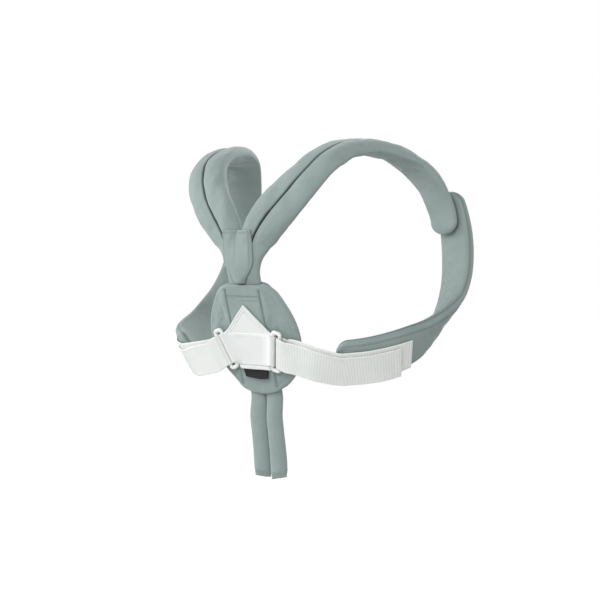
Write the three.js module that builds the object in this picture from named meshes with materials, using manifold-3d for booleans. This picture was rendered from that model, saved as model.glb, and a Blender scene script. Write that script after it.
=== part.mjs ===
// Figure-of-eight clavicle strap in the form it takes when worn
// Millimetres, +Z up; the back of the part faces -Y and its right side is +X
// The origin lies midway between the two straps where they lie on top of the shoulders
import * as THREE from "three";
import Module from "manifold-3d";

const wasm = await Module();
wasm.setup();

// Driving dimensions
const GAP = 0.4;
const PAD_TOP = { y: -80.3, z: -148.8 };
const PAD_SLOPE = THREE.MathUtils.degToRad(16);
const PAD = { reach: 69, middle: 65, top: 67, corner: 4, rim: 12, dome: 15, bridge: 17, back: 2, raised: 4.5 };
const TUNNEL = { half: 24.8, high: 12.4, seam: 26.5, groove: 1.7 };
const TAIL = { wide: 23, thick: 11, middle: 12.1 };
const PATCH = { thick: 2.6, edge: 1.3, sag: 3.5 };
const RING = { along: 42.5, apart: 10.4, bar: 2.2, corner: 4.5, slant: 17.8, u: 39.3, v: 78.5, w: 20 };
const TAB = { thick: 2.2, lift: 0.5, sleeve: 1.3, sleeveLong: 36 };
const WEB = { wide: 38, thick: 1.5, lower: 5, stagger: 3.5, reach: 92, fold: 76 };
const LABEL = { half: 19, from: 101.85, long: 10, thick: 1.8, curl: 3.5 };
const COLOURS = { fabric: 0x96aaa3, white: 0xeceeec, plastic: 0xf4f5f3, label: 0x17181a };

// A table: the names of its columns, then one row for each section
function table(names, rows) {
  return rows.map((row) => Object.fromEntries(names.map((name, i) => [name, row[i]])));
}

// Shoulder strap above the pad: middle of the outer face, the way it faces, width, thickness, slit depth
const STRAP_ROWS = table(
  ["x", "y", "z", "fx", "fy", "fz", "wide", "thick", "slit"],
  [
    [12.8, -98, -137, 0.03, -1, -0.2, 23.5, 11.6, 0],
    [14.8, -100.2, -121, 0.08, -1, 0, 28.2, 14, 0],
    [18.9, -100.6, -107, 0.15, -0.98, 0.05, 38, 15, 2],
    [25.6, -100.6, -93, 0.18, -0.97, 0.12, 48.6, 16, 6],
    [40.6, -99.4, -73, 0.18, -0.95, 0.2, 54.4, 17, 7],
    [54.6, -95, -56.7, 0.17, -0.92, 0.3, 56, 17, 7],
    [65.7, -88.7, -42.1, 0.15, -0.86, 0.42, 56, 17, 7],
    [76.5, -80.5, -26.2, 0.12, -0.78, 0.58, 56, 17, 7],
    [86.2, -66, -8, 0.1, -0.65, 0.75, 56, 17, 7],
    [91.5, -49, 4, 0.1, -0.45, 0.88, 56, 17, 7],
    [95.3, -30, 12, 0.1, -0.22, 0.97, 56, 17, 7],
    [100.7, -9, 16.5, 0.12, 0, 1, 55, 17, 7],
    [109, 13, 16.5, 0.16, 0.22, 0.95, 54, 17, 7],
    [120, 35, 11, 0.2, 0.45, 0.86, 52, 16.5, 6.5],
    [133, 56, -1, 0.24, 0.65, 0.7, 51, 16, 6],
    [145, 73, -18, 0.27, 0.8, 0.5, 50, 15, 5],
    [154, 85, -39, 0.3, 0.9, 0.3, 49, 14, 3],
    [160, 92, -64, 0.32, 0.94, 0.1, 48, 12, 1],
    [164, 94, -92, 0.34, 0.94, -0.1, 47, 11, 0],
  ],
);

// Underarm pad from its upper end in front to its tip behind: middle of the outer face, facing, width, thickness
const UNDERARM_ROWS = table(
  ["x", "y", "z", "fx", "fy", "fz", "wide", "thick"],
  [
    [160, 100.5, -41, 0.3, 0.9, 0.3, 48, 12],
    [165.5, 106.5, -64, 0.32, 0.94, 0.12, 50, 15],
    [170.5, 109.5, -92, 0.34, 0.94, -0.1, 51, 17],
    [175, 106, -122, 0.37, 0.9, -0.25, 52, 17],
    [179, 96, -151, 0.42, 0.8, -0.45, 52, 16],
    [182, 78, -178, 0.5, 0.6, -0.6, 52, 16],
    [183, 52, -200, 0.7, 0.35, -0.6, 52, 16],
    [181, 24, -216, 0.85, 0.05, -0.5, 52, 16],
    [174, -4, -225, 0.9, -0.25, -0.45, 52, 16],
    [161, -29, -232, 0.78, -0.52, -0.45, 52, 15],
    [142, -48, -236.5, 0.56, -0.7, -0.5, 51, 14],
    [115, -64.5, -239, 0.4, -0.8, -0.5, 50, 12],
  ],
);

// Free run of the webbing between the underarm pad and the ring: middle, facing
const WEB_ROWS = table(
  ["x", "y", "z", "fx", "fy", "fz"],
  [
    [97, -71.6, -241.2, 0.27, -0.9, -0.36],
    [80, -75.2, -238.5, 0.13, -0.95, -0.29],
    [64, -75.9, -235.8, 0.02, -0.965, -0.26],
  ],
);

// Cross patch: height of the row, half width, how far out the middle lies
const PATCH_ROWS = table(
  ["z", "half", "out"],
  [
    [-88, 22, 96.5],
    [-96, 22.2, 98],
    [-104, 22.5, 99.5],
    [-112, 22.8, 100.5],
    [-119, 23, 100.5],
    [-125, 22.6, 100.4],
    [-131, 20.5, 99.8],
    [-137, 16.5, 99],
    [-142, 12, 98.6],
    [-146, 9, 98.2],
    [-150.3, 6.5, 98],
  ],
);

// A closed geometry made to face outwards
function closed(points, faces) {
  const volume = faces.reduce((sum, [a, b, c]) => sum + points[a].dot(points[b].clone().cross(points[c])), 0);
  const geometry = new THREE.BufferGeometry();
  const turned = volume < 0 ? faces.map(([a, b, c]) => [a, c, b]) : faces;
  geometry.setAttribute("position", new THREE.Float32BufferAttribute(points.flatMap((p) => p.toArray()), 3));
  geometry.setIndex(turned.flat());
  return geometry;
}

// A skin over a row of equal outlines; its ends are capped, or the last outline joins the first
function loft(outlines, ring = false) {
  const n = outlines[0].length;
  const points = outlines.flat();
  const faces = [];
  const spans = ring ? outlines.length : outlines.length - 1;
  for (let i = 0; i < spans; i++) {
    const here = i * n;
    const next = ((i + 1) % outlines.length) * n;
    for (let j = 0; j < n; j++) {
      const k = (j + 1) % n;
      faces.push([here + j, here + k, next + j], [here + k, next + k, next + j]);
    }
  }
  if (!ring) {
    for (const [start, turn] of [[0, false], [(outlines.length - 1) * n, true]]) {
      const centre = new THREE.Vector3();
      for (let j = 0; j < n; j++) centre.addScaledVector(points[start + j], 1 / n);
      const c = points.push(centre) - 1;
      for (let j = 0; j < n; j++) {
        const [a, b] = [start + j, start + ((j + 1) % n)];
        faces.push(turn ? [a, b, c] : [b, a, c]);
      }
    }
  }
  return closed(points, faces);
}

// Solids for joining and cutting
function solidOf(geometry) {
  const vertProperties = new Float32Array(geometry.getAttribute("position").array);
  const triVerts = new Uint32Array(geometry.getIndex().array);
  return new wasm.Manifold(new wasm.Mesh({ numProp: 3, vertProperties, triVerts }));
}

function geometryOf(solid) {
  const mesh = solid.getMesh();
  const geometry = new THREE.BufferGeometry();
  geometry.setAttribute("position", new THREE.Float32BufferAttribute(mesh.vertProperties, 3));
  geometry.setIndex(new THREE.Uint32BufferAttribute(mesh.triVerts, 1));
  return geometry;
}

// The same geometry on the other side of the middle plane
function mirrored(geometry) {
  const copy = geometry.clone();
  const position = copy.getAttribute("position");
  for (let i = 0; i < position.count; i++) position.setX(i, -position.getX(i));
  copy.setIndex(Array.from(copy.getIndex().array).reverse());
  return copy;
}

// A point of the back pad: across, down along its slope, out from its back
function onPad(u, v, w) {
  const y = PAD_TOP.y + v * Math.sin(PAD_SLOPE) - w * Math.cos(PAD_SLOPE);
  const z = PAD_TOP.z - v * Math.cos(PAD_SLOPE) - w * Math.sin(PAD_SLOPE);
  return new THREE.Vector3(u, y, z);
}

const PAD_OUT = onPad(0, 0, 1).sub(onPad(0, 0, 0));

// A smooth route through table rows, with every other column carried along
function routeOf(rows) {
  const through = (a, b, c, kind) =>
    new THREE.CatmullRomCurve3(rows.map((r) => new THREE.Vector3(r[a] ?? 0, r[b] ?? 0, r[c] ?? 0)), false, kind);
  const spine = through("x", "y", "z", "centripetal");
  const facing = through("fx", "fy", "fz", "catmullrom");
  const size = through("wide", "thick", "slit", "catmullrom");
  spine.arcLengthDivisions = 600;
  return {
    long: spine.getLength(),
    at(distance) {
      const t = spine.getUtoTmapping(0, Math.min(Math.max(distance, 0), this.long));
      const run = spine.getTangent(t);
      const out = facing.getPoint(t);
      out.addScaledVector(run, -out.dot(run)).normalize();
      const { x: wide, y: thick, z: slit } = size.getPoint(t);
      return { point: spine.getPoint(t), run, out, across: run.clone().cross(out), wide, thick, slit: Math.max(slit, 0) };
    },
  };
}

// Puts an outline of [across, out] pairs on a frame of a route
function placed(frame, outline) {
  return outline.map(([a, b]) => frame.point.clone().addScaledVector(frame.across, a).addScaledVector(frame.out, b));
}

// Outline of a padded section below its outer face, with a slit in the middle of that face
function paddedOutline({ wide, thick, slit = 0 }, shape) {
  const girth = shape.girth * thick;
  const outline = [[0, -slit]];
  for (let i = 0; i <= shape.steps; i++) {
    const angle = shape.lip + ((2 * Math.PI - 2 * shape.lip) * i) / shape.steps;
    const side = Math.sin(angle);
    const rise = Math.cos(angle);
    const across = (wide / 2) * Math.sign(side) * Math.abs(side) ** shape.square;
    const face = -girth * (1 - Math.abs(rise) ** shape.crown);
    const under = -girth - (thick - girth) * Math.abs(rise) ** shape.flat;
    const roll = i === 0 || i === shape.steps ? slit * 0.14 : 0;
    outline.push([across, (rise > 0 ? face : under) - roll]);
  }
  return outline;
}

const STRAP_SHAPE = { steps: 18, lip: 0.07, girth: 0.62, square: 0.86, crown: 0.95, flat: 0.6 };
const UNDERARM_SHAPE = { steps: 15, lip: 0.12, girth: 0.5, square: 0.6, crown: 0.5, flat: 0.6 };

// Distances along a padded piece, closer together where its ends are rounded, with how full it is there
function stations(long, count, roundStart, roundEnd) {
  const turns = [18, 38, 58, 76].map((a) => THREE.MathUtils.degToRad(a));
  const cap = (radius) => turns.map((a) => ({ d: radius * (1 - Math.cos(a)), full: Math.sin(a) }));
  const start = roundStart ? cap(roundStart) : [];
  const end = roundEnd ? cap(roundEnd).map(({ d, full }) => ({ d: long - d, full })).reverse() : [];
  const middle = Array.from({ length: count + 1 }, (_, i) => {
    return { d: roundStart + ((long - roundStart - roundEnd) * i) / count, full: 1 };
  });
  return [...start, ...middle, ...end];
}

// A padded piece along a route, rounded in plan at the ends that have a radius
function paddedPiece(route, shape, count, roundStart, roundEnd) {
  return loft(
    stations(route.long, count, roundStart, roundEnd).map(({ d, full }) => {
      const frame = route.at(d);
      const thick = frame.thick * full ** 0.55;
      const sunk = { ...frame, point: frame.point.clone().addScaledVector(frame.out, (thick - frame.thick) / 2) };
      return placed(sunk, paddedOutline({ wide: frame.wide * full, thick, slit: frame.slit * full }, shape));
    }),
  );
}

// Shoulder straps: free tail, straight run in the tunnel, then the rows above
const tailOut = PAD.back + (TUNNEL.high + TAIL.thick) / 2;
const tunnelRows = [136, 118, 95, 70, 45, 20, 4].map((v) => {
  const { x, y, z } = onPad(TAIL.middle, v, tailOut);
  return { x, y, z, fx: PAD_OUT.x, fy: PAD_OUT.y, fz: PAD_OUT.z, wide: TAIL.wide, thick: TAIL.thick, slit: 0 };
});
const TAIL_ROWS = table(
  ["x", "y", "z", "fx", "fy", "fz", "wide", "thick", "slit"],
  [
    [13.6, -44.6, -384, 0, -1, 0, 24, 11, 0],
    [13.2, -47, -352, 0, -1, -0.1, 24, 12, 0],
    [12.6, -51.6, -318, 0, -1, -0.18, 23.5, 12, 0],
  ],
);
const strapRoute = routeOf([...TAIL_ROWS, ...tunnelRows, ...STRAP_ROWS]);
const strapGeometry = paddedPiece(strapRoute, STRAP_SHAPE, 54, 0, 14);

// Underarm pads
const underarmRoute = routeOf(UNDERARM_ROWS);
const underarmGeometry = paddedPiece(underarmRoute, UNDERARM_SHAPE, 26, 16, 17);

// Back pad: how far its edge lies from its middle, and how high its face and back stand
function padReach(angle) {
  const up = Math.cos(angle);
  const aside = THREE.MathUtils.radToDeg(Math.acos(up));
  const round = PAD.reach + PAD.corner * Math.exp(-(((aside - 35) / 14) ** 2));
  return up > 0 ? Math.min(round, PAD.top / up) : round;
}

function padFace(u, share) {
  const dome = PAD.rim + (PAD.dome - PAD.rim) * Math.max(0, 1 - share ** 2.8) ** 0.75;
  const over = THREE.MathUtils.smoothstep(Math.abs(u), TUNNEL.half + 1, TUNNEL.half + 6);
  return Math.max(dome, THREE.MathUtils.lerp(PAD.bridge, dome, over)) - (share === 1 ? 1 : 0);
}

function padBack(u, share) {
  const beside = THREE.MathUtils.smoothstep(Math.abs(u), TUNNEL.half + 1.5, TUNNEL.half + 15);
  return PAD.raised * beside * THREE.MathUtils.smoothstep(share, 0.7, 1) + (share === 1 ? 1 : 0);
}

function padBody() {
  const shares = [0.22, 0.42, 0.6, 0.76, 0.88, 0.96, 1];
  const turns = 48;
  const at = (share, i, face) => {
    const angle = (2 * Math.PI * i) / turns;
    const reach = padReach(angle) * share;
    const u = reach * Math.sin(angle);
    const v = PAD.middle - reach * Math.cos(angle);
    return onPad(u, v, face ? padFace(u, share) : padBack(u, share));
  };
  const points = [onPad(0, PAD.middle, PAD.bridge), onPad(0, PAD.middle, 0)];
  const faces = [];
  const row = (share, face) => {
    const start = points.length;
    for (let i = 0; i < turns; i++) points.push(at(share, i, face));
    return start;
  };
  const front = shares.map((share) => row(share, true));
  const back = shares.map((share) => row(share, false));
  const band = (a, b) => {
    for (let i = 0; i < turns; i++) {
      const k = (i + 1) % turns;
      faces.push([a + i, b + i, b + k], [a + i, b + k, a + k]);
    }
  };
  for (let i = 0; i < turns; i++) {
    const k = (i + 1) % turns;
    faces.push([0, front[0] + i, front[0] + k], [1, back[0] + k, back[0] + i]);
  }
  for (let s = 1; s < shares.length; s++) {
    band(front[s - 1], front[s]);
    band(back[s], back[s - 1]);
  }
  band(front.at(-1), back.at(-1));
  return solidOf(closed(points, faces));
}

// A straight bar along the pad with the same outline at each end
function padBar(outline, from, to) {
  return solidOf(loft([from, to].map((v) => outline.map(([u, w]) => onPad(u, v, w)))));
}

const low = PAD.back;
const high = PAD.back + TUNNEL.high;
const tunnel = padBar(
  [[-TUNNEL.half, low + 2], [-TUNNEL.half + 2, low], [TUNNEL.half - 2, low], [TUNNEL.half, low + 2],
    [TUNNEL.half, high - 3], [TUNNEL.half - 3, high], [-TUNNEL.half + 3, high], [-TUNNEL.half, high - 3]],
  -20,
  160,
);
const seams = [-1, 1].map((side) => {
  const [middle, deep] = [side * TUNNEL.seam, PAD.bridge - TUNNEL.groove];
  return padBar([[middle, deep], [middle + 1.6, PAD.bridge + 2], [middle - 1.6, PAD.bridge + 2]], 9, 124);
});
const padGeometry = geometryOf(padBody().subtract(tunnel).subtract(seams[0]).subtract(seams[1]));

// Cross patch laid over the two straps
const strapMeshes = [strapGeometry, mirrored(strapGeometry)].map((geometry) => {
  return new THREE.Mesh(geometry, new THREE.MeshStandardMaterial({ side: THREE.DoubleSide }));
});

function strapOut(x, z) {
  const near = [[0, 0], [-2.5, 0], [2.5, 0], [0, -2.5], [0, 2.5]].map(([a, b]) => {
    const ray = new THREE.Raycaster(new THREE.Vector3(x + a, -300, z + b), new THREE.Vector3(0, 1, 0));
    const hits = ray.intersectObjects(strapMeshes);
    return hits.length ? -hits[0].point.y : 0;
  });
  return Math.max(...near);
}

function patchBody() {
  const columns = 14;
  const grid = PATCH_ROWS.map(({ z, half, out }) => {
    return Array.from({ length: columns + 1 }, (_, i) => {
      const share = (2 * i) / columns - 1;
      const x = share * half;
      const sewn = out - PATCH.sag * Math.max(0, 1 - Math.abs(x) / 11) ** 2 - 2.5 * Math.abs(share) ** 3;
      return { x, z, share, out: Math.max(sewn, strapOut(x, z) + GAP) };
    });
  });
  const points = [];
  const faces = [];
  const across = columns + 1;
  grid.forEach((row, j) => {
    row.forEach(({ x, z, share, out }) => {
      const border = j === 0 || j === grid.length - 1 || Math.abs(share) === 1;
      const thick = border ? PATCH.edge : PATCH.thick;
      points.push(new THREE.Vector3(x, -out, z), new THREE.Vector3(x, -out - thick, z));
    });
  });
  const inner = (j, i) => 2 * (j * across + i);
  const quad = (a, b, c, d) => faces.push([a, b, c], [a, c, d]);
  for (let j = 0; j < grid.length - 1; j++) {
    for (let i = 0; i < columns; i++) {
      const [a, b, c, d] = [inner(j, i), inner(j, i + 1), inner(j + 1, i + 1), inner(j + 1, i)];
      quad(a, b, c, d);
      quad(d + 1, c + 1, b + 1, a + 1);
    }
    const [a, d] = [inner(j, 0), inner(j + 1, 0)];
    quad(a, d, d + 1, a + 1);
    const [b, c] = [inner(j, columns), inner(j + 1, columns)];
    quad(b + 1, c + 1, c, b);
  }
  for (let i = 0; i < columns; i++) {
    const [a, b] = [inner(0, i), inner(0, i + 1)];
    quad(a + 1, b + 1, b, a);
    const last = grid.length - 1;
    const [d, c] = [inner(last, i), inner(last, i + 1)];
    quad(d, c, c + 1, d + 1);
  }
  return closed(points, faces);
}

// Rings: their own frame on the pad, then a round bar swept round a rounded rectangle
const slant = THREE.MathUtils.degToRad(RING.slant);
const ringCentre = onPad(RING.u, RING.v, RING.w);
const ringOut = PAD_OUT.clone();
const ringAlong = onPad(-Math.sin(slant), Math.cos(slant), 0).sub(onPad(0, 0, 0));
const ringAside = onPad(Math.cos(slant), Math.sin(slant), 0).sub(onPad(0, 0, 0));

function onRing(aside, along, out) {
  return ringCentre.clone().addScaledVector(ringAside, aside).addScaledVector(ringAlong, along).addScaledVector(ringOut, out);
}

function ringBody() {
  const [a, b] = [RING.apart / 2, RING.along / 2 + RING.bar];
  const corners = [[a, b, 0], [-a, b, 90], [-a, -b, 180], [a, -b, 270]];
  const outlines = corners.flatMap(([x, y, turn]) => {
    const middle = [x - Math.sign(x) * RING.corner, y - Math.sign(y) * RING.corner];
    return [0, 22.5, 45, 67.5, 90].map((step) => {
      const angle = THREE.MathUtils.degToRad(turn + step);
      const [cos, sin] = [Math.cos(angle), Math.sin(angle)];
      return Array.from({ length: 10 }, (_, i) => {
        const round = (2 * Math.PI * i) / 10;
        const far = RING.corner + RING.bar * Math.cos(round);
        return onRing(middle[0] + far * cos, middle[1] + far * sin, RING.bar * Math.sin(round));
      });
    });
  });
  return loft(outlines, true);
}

// Ring tab: a five-sided plate with a sleeve round the inner bar of each ring
function tabBody() {
  const half = [[0, 22], [32.5, 53.5], [40.2, 58.2], [27.9, 96.6], [27, 101.5]];
  const outline = [...half, ...half.slice(1).reverse().map(([u, v]) => [-u, v])];
  const [near, far] = [PAD.bridge + TAB.lift, PAD.bridge + TAB.lift + TAB.thick];
  const plate = solidOf(loft([near, far].map((w) => outline.map(([u, v]) => onPad(u, v, w)))));
  const bore = RING.bar + GAP + 0.1;
  const tube = (radius, long) => {
    const circle = Array.from({ length: 14 }, (_, i) => [Math.cos((i * Math.PI) / 7), Math.sin((i * Math.PI) / 7)]);
    const ends = [-long / 2, long / 2].map((along) =>
      circle.map(([a, o]) => onRing(a * radius - RING.apart / 2, along, o * radius)),
    );
    return loft(ends);
  };
  const sleeve = tube(bore + TAB.sleeve, TAB.sleeveLong);
  const hole = tube(bore, TAB.sleeveLong + 40);
  let body = plate;
  for (const piece of [sleeve, mirrored(sleeve)]) body = body.add(solidOf(piece));
  for (const piece of [hole, mirrored(hole)]) body = body.subtract(solidOf(piece));
  return geometryOf(body);
}

// Webbing: along the underarm pad, to the ring, round its outer bar and back over itself
function webBody() {
  const middle = GAP + 0.15 + WEB.thick / 2;
  const onUnderarm = [WEB.reach, 72, 52, 34, 18, 6].map((back) => {
    const frame = underarmRoute.at(underarmRoute.long - back);
    const point = frame.point.clone().addScaledVector(frame.out, middle);
    const aside = frame.across.clone().multiplyScalar(Math.sign(frame.across.z) * -WEB.lower);
    point.add(aside);
    return { x: point.x, y: point.y, z: point.z, fx: frame.out.x, fy: frame.out.y, fz: frame.out.z };
  });
  const turn = RING.bar + middle;
  const approach = onRing(RING.apart / 2 + 9, 0, -turn + 1.2);
  const arrive = onRing(RING.apart / 2, 0, -turn);
  const near = [approach, arrive].map(({ x, y, z }) => {
    return { x, y, z, fx: ringOut.x, fy: ringOut.y, fz: ringOut.z };
  });
  const route = routeOf([...onUnderarm, ...WEB_ROWS, ...near]);
  const inner = Array.from({ length: 23 }, (_, i) => route.at((route.long * i) / 22));
  for (const frame of inner) {
    const ease = THREE.MathUtils.smoothstep(frame.point.distanceTo(arrive), 3, 30);
    frame.across.multiplyScalar(Math.sign(frame.across.z));
    frame.across.lerp(ringAlong.clone().negate(), 1 - ease).normalize();
  }
  const bend = [30, 60, 90, 120, 150].map((step) => {
    const angle = THREE.MathUtils.degToRad(step);
    const point = onRing(RING.apart / 2 - turn * Math.sin(angle), 0, -turn * Math.cos(angle));
    const out = ringOut.clone().multiplyScalar(Math.cos(angle)).addScaledVector(ringAside, Math.sin(angle));
    return { point, out, across: ringAlong.clone().negate() };
  });
  const outer = [];
  const step = 22;
  for (let i = 0; i <= step; i++) {
    const distance = route.long - ((route.long - WEB.reach + WEB.fold) * i) / step;
    const frame = route.at(Math.max(distance, 0));
    const away = frame.point.distanceTo(arrive);
    const ease = THREE.MathUtils.smoothstep(away, 3, 30);
    frame.across.multiplyScalar(Math.sign(frame.across.z)).lerp(ringAlong.clone().negate(), 1 - ease).normalize();
    const lift = THREE.MathUtils.lerp(2 * turn, WEB.thick + 0.7, THREE.MathUtils.smoothstep(away, 0, 34));
    const drop = WEB.stagger * THREE.MathUtils.smoothstep(away, 2, 26);
    const point = frame.point.clone().addScaledVector(frame.out, lift).addScaledVector(frame.across, -drop);
    outer.push({ point, out: frame.out.clone().negate(), across: frame.across });
  }
  const [half, thick] = [WEB.wide / 2, WEB.thick / 2];
  const outline = [[-half, -thick], [half, -thick], [half, thick], [-half, thick]];
  return loft([...inner, ...bend, ...outer].map((frame) => placed(frame, outline)));
}

// Label: a small folded tab below the ring tab, its lower edge curling outwards
function labelBody() {
  const rows = [0, 0.25, 0.5, 0.75, 0.92, 1];
  const low = PAD.bridge + TAB.lift;
  return loft(
    rows.map((share) => {
      const v = LABEL.from + LABEL.long * share;
      const thick = LABEL.thick * (share === 1 ? 0.45 : 1);
      const w = low + LABEL.curl * share ** 2 + (LABEL.thick - thick) / 2;
      return [[-LABEL.half, w], [LABEL.half, w], [LABEL.half, w + thick], [-LABEL.half, w + thick]].map(([u, out]) =>
        onPad(u, v, out),
      );
    }),
  );
}

// The assembly: one named mesh for each piece
const FABRIC = { color: COLOURS.fabric, roughness: 0.92, metalness: 0 };
const WHITE = { color: COLOURS.white, roughness: 0.85, metalness: 0 };
const PLASTIC = { color: COLOURS.plastic, roughness: 0.42, metalness: 0 };
const BLACK = { color: COLOURS.label, roughness: 0.8, metalness: 0 };

const part = new THREE.Group();
part.name = "clavicle_strap";

function addPiece(name, geometry, finish) {
  const mesh = new THREE.Mesh(geometry, new THREE.MeshStandardMaterial(finish));
  mesh.name = name;
  part.add(mesh);
}

function addPair(name, geometry, finish) {
  addPiece(`${name}_right`, geometry, finish);
  addPiece(`${name}_left`, mirrored(geometry), finish);
}

addPiece("back_pad", padGeometry, FABRIC);
addPair("shoulder_strap", strapGeometry, FABRIC);
addPiece("cross_patch", patchBody(), FABRIC);
addPair("underarm_pad", underarmGeometry, FABRIC);
addPiece("ring_tab", tabBody(), WHITE);
addPair("ring", ringBody(), PLASTIC);
addPair("web_strap", webBody(), WHITE);
addPiece("label_tab", labelBody(), BLACK);

export default part;
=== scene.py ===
import math
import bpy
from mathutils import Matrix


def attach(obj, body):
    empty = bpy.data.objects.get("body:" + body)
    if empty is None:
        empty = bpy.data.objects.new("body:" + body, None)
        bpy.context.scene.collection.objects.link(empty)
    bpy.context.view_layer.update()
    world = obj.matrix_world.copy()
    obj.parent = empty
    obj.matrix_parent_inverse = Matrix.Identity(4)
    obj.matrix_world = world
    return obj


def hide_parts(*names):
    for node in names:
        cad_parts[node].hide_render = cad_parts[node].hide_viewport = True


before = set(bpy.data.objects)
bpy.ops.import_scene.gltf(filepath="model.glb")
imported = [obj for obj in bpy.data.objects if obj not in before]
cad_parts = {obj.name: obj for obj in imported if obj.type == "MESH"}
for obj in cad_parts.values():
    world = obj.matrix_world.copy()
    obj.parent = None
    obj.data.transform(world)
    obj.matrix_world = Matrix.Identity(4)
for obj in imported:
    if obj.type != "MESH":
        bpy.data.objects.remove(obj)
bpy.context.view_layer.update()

from types import SimpleNamespace

import bpy
import numpy as np
from mathutils import Vector
from mathutils.bvhtree import BVHTree
from mathutils.kdtree import KDTree

# Lengths below are millimetres in the CAD frame; meshes are written in metres
MM = 0.001
GAP = 0.4
scene = bpy.context.scene

# Back pad frame and the sizes that the other pieces hang on
PAD_TOP = (-80.3, -148.8)
PAD_SLOPE = math.radians(16)
PAD_REACH, PAD_MIDDLE, PAD_UPPER, PAD_CORNER = 69, 65, 67, 4
PAD_RIM, PAD_DOME, PAD_BRIDGE, PAD_RAISED = 12, 15, 17, 4.5
TUNNEL_HALF, TUNNEL_LOW, TUNNEL_HIGH, SEAM = 24.8, 2, 14.4, 26.5
RING_ALONG, RING_APART, RING_BAR, RING_CORNER = 44, 10.4, 2.2, 2.9
RING_U, RING_V, RING_W = 39.3, 77.7, 20
RING_SLANT = {1: math.radians(14.2), -1: math.radians(21)}
WEB_WIDE, WEB_THICK, WEB_LOWER, WEB_REACH, WEB_FOLD = 38, 1.5, 5, 92, 76

# Spacing of the sections along padded pieces, how full their ends stay, and the sewn lines
STATION, END_PLUMP = 2.2, 0.55
TAIL_HEM, EDGE_STITCH, EDGE_STITCH_2 = 5.5, 5.2, 8.4
PAD_HEM, PAD_HEM_2 = 13, 18.2
PATCH_SEAM, PATCH_SIDE, PATCH_TOP, PATCH_FOOT = -2.5, 3.2, 3.4, 2.6
TAB_STITCH, TAB_STITCH_2, TAB_HEM = 3.0, 6.2, 96.5
FINE_STITCH = {"long": 2.1, "gap": 0.8, "radius": 0.28}

# Cloth settling: voxel size in metres, frames, how free the loosest points are, and the cloth itself
CLOTH_VOXEL, CLOTH_FRAMES, CLOTH_FREE = 0.0045, 20, 0.97
CLOTH_RULES = {"quality": 6, "mass": 0.1, "tension_stiffness": 12, "compression_stiffness": 12,
               "shear_stiffness": 6, "bending_stiffness": 0.15, "pin_stiffness": 0.6,
               "use_pressure": True, "uniform_pressure_force": 3.0}

# Strap rows: middle of the outer face, the way it faces, width, thickness, slit depth
TAIL_ROWS = [
    (13.6, -44.6, -384, 0, -1, 0, 24, 11, 0),
    (13.2, -47, -352, 0, -1, -0.1, 24, 12, 0),
    (12.6, -51.6, -318, 0, -1, -0.18, 23.5, 12, 0),
]
STRAP_ROWS = [
    (12.8, -98, -137, 0.03, -1, -0.2, 23.5, 11.6, 0),
    (14.8, -100.2, -121, 0.08, -1, 0, 28.2, 14, 0),
    (18.9, -100.6, -107, 0.15, -0.98, 0.05, 38, 15, 2),
    (25.6, -100.6, -93, 0.18, -0.97, 0.12, 48.6, 16, 6),
    (40.6, -99.4, -73, 0.18, -0.95, 0.2, 54.4, 17, 7),
    (54.6, -95, -56.7, 0.17, -0.92, 0.3, 56, 17, 7),
    (65.7, -88.7, -42.1, 0.15, -0.86, 0.42, 56, 17, 7),
    (76.5, -80.5, -26.2, 0.12, -0.78, 0.58, 56, 17, 7),
    (86.2, -66, -8, 0.1, -0.65, 0.75, 56, 17, 7),
    (91.5, -49, 4, 0.1, -0.45, 0.88, 56, 17, 7),
    (95.3, -30, 12, 0.1, -0.22, 0.97, 56, 17, 7),
    (100.7, -9, 16.5, 0.12, 0, 1, 55, 17, 7),
    (109, 13, 16.5, 0.16, 0.22, 0.95, 54, 17, 7),
    (120, 35, 11, 0.2, 0.45, 0.86, 52, 16.5, 6.5),
    (133, 56, -1, 0.24, 0.65, 0.7, 51, 16, 6),
    (145, 73, -18, 0.27, 0.8, 0.5, 50, 15, 5),
    (154, 85, -39, 0.3, 0.9, 0.3, 49, 14, 3),
    (160, 92, -64, 0.32, 0.94, 0.1, 48, 12, 1),
    (164, 94, -92, 0.34, 0.94, -0.1, 47, 11, 0),
]
UNDERARM_ROWS = [
    (160, 100.5, -41, 0.3, 0.9, 0.3, 48, 12),
    (165.5, 106.5, -64, 0.32, 0.94, 0.12, 50, 15),
    (170.5, 109.5, -92, 0.34, 0.94, -0.1, 51, 17),
    (175, 106, -122, 0.37, 0.9, -0.25, 52, 17),
    (179, 96, -151, 0.42, 0.8, -0.45, 52, 16),
    (182, 78, -178, 0.5, 0.6, -0.6, 52, 16),
    (183, 52, -200, 0.7, 0.35, -0.6, 52, 16),
    (181, 24, -216, 0.85, 0.05, -0.5, 52, 16),
    (174, -4, -225, 0.9, -0.25, -0.45, 52, 16),
    (161, -29, -232, 0.78, -0.52, -0.45, 52, 15),
    (142, -48, -236.5, 0.56, -0.7, -0.5, 51, 14),
    (115, -64.5, -239, 0.4, -0.8, -0.5, 50, 12),
]
WEB_ROWS = [
    (97, -71.6, -241.2, 0.27, -0.9, -0.36),
    (80, -75.2, -238.5, 0.13, -0.95, -0.29),
    (64, -75.9, -235.8, 0.02, -0.965, -0.26),
]
# Cross patch rows: height, half width, how far out its middle lies
PATCH_ROWS = [
    (-88, 22, 96.5), (-96, 22.2, 98), (-104, 22.5, 99.5), (-112, 22.8, 100.5),
    (-119, 23, 100.5), (-125, 22.6, 100.4), (-131, 20.5, 99.8), (-137, 16.5, 99),
    (-142, 12, 98.6), (-146, 9, 98.2), (-150.3, 6.5, 98),
]
TAB_HALF = [(0, 22), (32.5, 53.5), (40.2, 58.2), (27.9, 96.6), (27, 101.5)]
TAB_NEAR, TAB_FAR = 17.5, 19.7
TAB_PEAK, (TAB_EAVE_U, TAB_EAVE_V) = TAB_HALF[0][1], TAB_HALF[1]


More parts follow.
